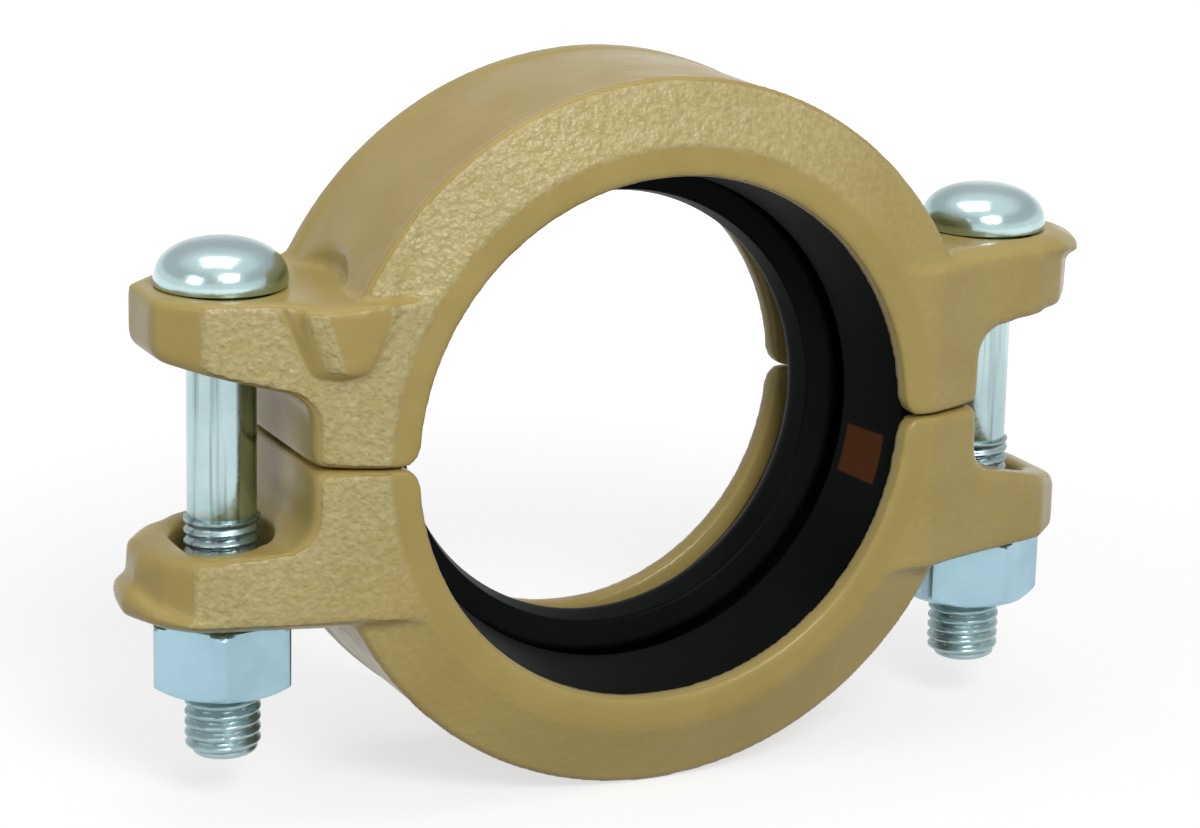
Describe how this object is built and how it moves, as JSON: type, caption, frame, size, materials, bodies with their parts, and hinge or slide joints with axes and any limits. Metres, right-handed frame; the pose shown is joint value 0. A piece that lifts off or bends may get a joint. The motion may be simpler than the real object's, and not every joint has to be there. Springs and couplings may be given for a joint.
{
  "type": "grooved reducing coupling",
  "caption": "Two-piece clamp coupling that joins a grooved pipe to a smaller grooved pipe end to end over a rubber gasket, drawn together by track bolts.",
  "frame": {"origin": "on the pipe axis at the parting plane, halfway along the housing", "axes": "+Y along the pipe towards the smaller pipe, +X across both bolts, +Z along the bolts towards their heads"},
  "size_m": [0.2208, 0.0544, 0.1522],
  "materials": {
    "paint": "glossy ochre paint over a cast surface",
    "zinc": "bright zinc plate",
    "rubber": "satin moulded rubber"
  },
  "bodies": {
    "lower_half": {"lower_housing": "paint", "gasket": "rubber"},
    "upper_half": {"upper_housing": "paint", "left_bolt": "zinc", "right_bolt": "zinc"},
    "left_nut": {"left_nut": "zinc"},
    "right_nut": {"right_nut": "zinc"}
  },
  "joints": [
    {"name": "housing_lift", "type": "slide", "parent": "lower_half", "child": "upper_half", "axis": [0, 0, 1], "range_m": [0, 0.012]},
    {"name": "left_nut_turn", "type": "hinge", "parent": "lower_half", "child": "left_nut", "pos_m": [-0.0891, 0, -0.04225], "axis": [0, 0, -1], "range_deg": [0, 1872]},
    {"name": "right_nut_turn", "type": "hinge", "parent": "lower_half", "child": "right_nut", "pos_m": [0.0891, 0, -0.04225], "axis": [0, 0, -1], "range_deg": [0, 1872]}
  ],
  "couplings": [
    {"joint": "left_nut_turn", "follows": "housing_lift", "rad_per_m": 2721.1},
    {"joint": "right_nut_turn", "follows": "housing_lift", "rad_per_m": 2721.1}
  ]
}
